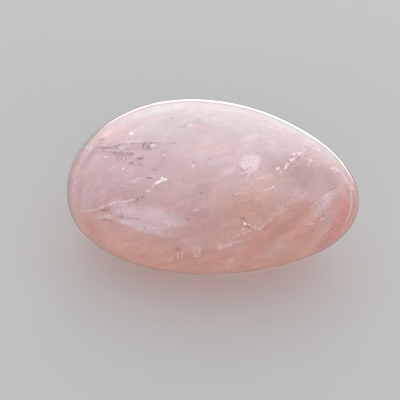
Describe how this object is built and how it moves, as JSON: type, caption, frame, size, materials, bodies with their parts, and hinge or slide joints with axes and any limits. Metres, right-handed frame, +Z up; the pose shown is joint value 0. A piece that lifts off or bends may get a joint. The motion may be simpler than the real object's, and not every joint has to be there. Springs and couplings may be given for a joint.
{
  "type": "rose quartz palm stone",
  "caption": "Smooth polished egg-shaped pebble of cloudy pink quartz that fills the palm and rests on a small flat worn into its belly.",
  "frame": {"origin": "on the surface it rests on, under the middle of its length and width", "axes": "+X along its length towards the narrow end, +Y across its width, +Z up through its thickness, away from the flat it rests on"},
  "size_m": [0.06, 0.0438, 0.0299],
  "materials": {
    "rose_quartz": "polished to a wet gloss, cloudy and slightly see-through"
  },
  "bodies": {
    "root": {"palm_stone": "rose_quartz"}
  },
  "joints": []
}
